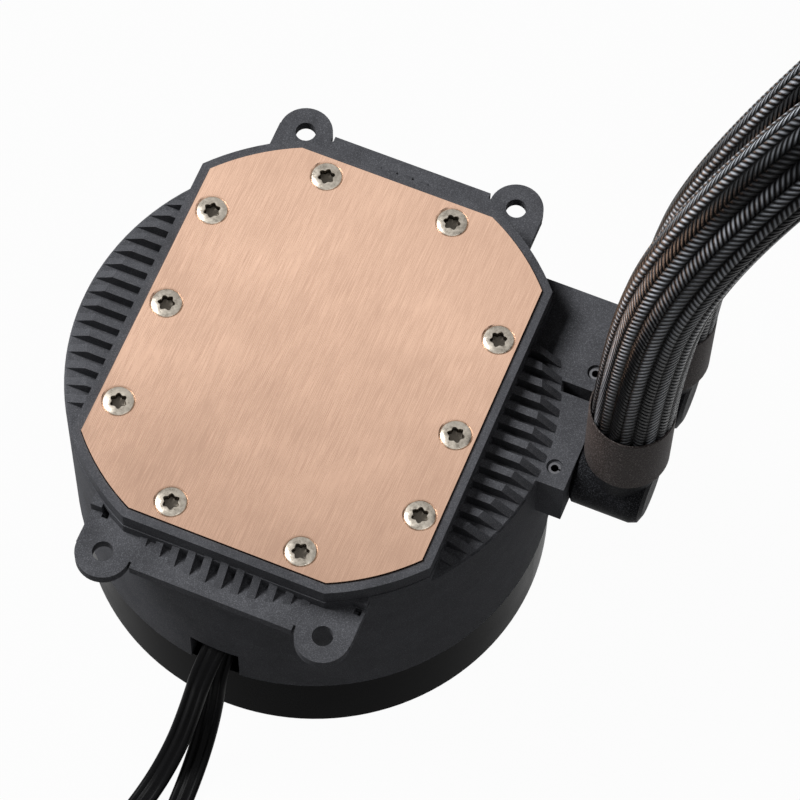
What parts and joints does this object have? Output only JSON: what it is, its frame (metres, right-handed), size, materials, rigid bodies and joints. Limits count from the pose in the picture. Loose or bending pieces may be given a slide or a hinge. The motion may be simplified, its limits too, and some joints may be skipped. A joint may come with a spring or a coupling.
{
  "type": "all in one liquid cooler",
  "caption": "Liquid cooler for a processor: round pump head with copper cold plate, swivel elbows, braided hoses, flat leads, and a radiator on its fan.",
  "frame": {"origin": "middle of the cap's outer face, which lies on the surface", "axes": "+Z out of the cold plate, +X towards the elbows, +Y along the cold plate's long side"},
  "size_m": [0.3105, 0.2778, 0.1773],
  "materials": {
    "body_plastic": "fine grained matt charcoal moulding",
    "cap_plastic": "polished near black",
    "milky_plastic": "milky diffuser",
    "lamp": "small lamps",
    "board": "solder mask green",
    "steel": "bright nickel",
    "copper": "brushed copper",
    "seal_rubber": "seal rubber",
    "inner_plastic": "dark moulding",
    "white_plastic": "pale moulding",
    "magnet": "sintered ring magnet",
    "laminations": "stacked laminations",
    "winding": "enamelled wire",
    "elbow_plastic": "matt black moulding",
    "sleeve": "matt dark sleeve",
    "braid": "black braid over rubber",
    "lead": "black insulation",
    "plug": "black nylon",
    "rad_metal": "black painted aluminium",
    "fan_plastic": "black fan moulding"
  },
  "bodies": {
    "cooler": {"top_cover": "cap_plastic", "light_diffuser": "milky_plastic", "light_chips": "lamp", "circuit_board": "board", "board_screws": "steel", "pump_body": "body_plastic", "cold_plate": "copper", "plate_screws": "steel", "plate_gasket": "seal_rubber", "flow_plate": "white_plastic", "pump_shaft": "white_plastic", "rotor_can": "inner_plastic", "can_seal": "seal_rubber", "can_screws": "steel", "stator_core": "laminations", "stator_coils": "winding", "elbow_pins": "steel", "front_hose": "braid", "rear_hose": "braid", "pump_lead": "lead", "light_lead": "lead", "pump_lead_coil": "lead", "light_lead_coil": "lead", "pump_lead_plug": "plug", "light_lead_plug": "plug", "port_tank": "rad_metal", "return_tank": "rad_metal", "radiator_tubes": "rad_metal", "radiator_fins": "rad_metal", "left_rail": "rad_metal", "right_rail": "rad_metal", "radiator_sleeves": "sleeve", "fan_frame": "fan_plastic", "fan_stator": "laminations", "fan_coils": "winding", "fan_screws": "steel"},
    "impeller_rotor": {"impeller": "white_plastic", "impeller_bush": "inner_plastic", "rotor_magnet": "magnet"},
    "fan_spinner": {"fan_rotor": "fan_plastic", "fan_magnet": "magnet"},
    "front_swivel": {"front_elbow": "elbow_plastic", "front_elbow_seal": "seal_rubber", "front_sleeve": "sleeve"},
    "rear_swivel": {"rear_elbow": "elbow_plastic", "rear_elbow_seal": "seal_rubber", "rear_sleeve": "sleeve"}
  },
  "joints": [
    {"name": "impeller_spin", "type": "hinge", "parent": "cooler", "child": "impeller_rotor", "pos_m": [0, 0, 0.04], "axis": [0, 0, 1], "continuous": true},
    {"name": "fan_spin", "type": "hinge", "parent": "cooler", "child": "fan_spinner", "pos_m": [0.19, -0.0595, 0.0125], "axis": [0, 0, 1], "continuous": true},
    {"name": "front_elbow_swivel", "type": "hinge", "parent": "cooler", "child": "front_swivel", "pos_m": [0.0405, 0.0047, 0.0446], "axis": [1, 0, 0], "range_deg": [-4, 35], "deforming": ["front_hose"]},
    {"name": "rear_elbow_swivel", "type": "hinge", "parent": "cooler", "child": "rear_swivel", "pos_m": [0.0405, 0.02275, 0.0446], "axis": [1, 0, 0], "range_deg": [-35, 4], "deforming": ["rear_hose"]}
  ]
}
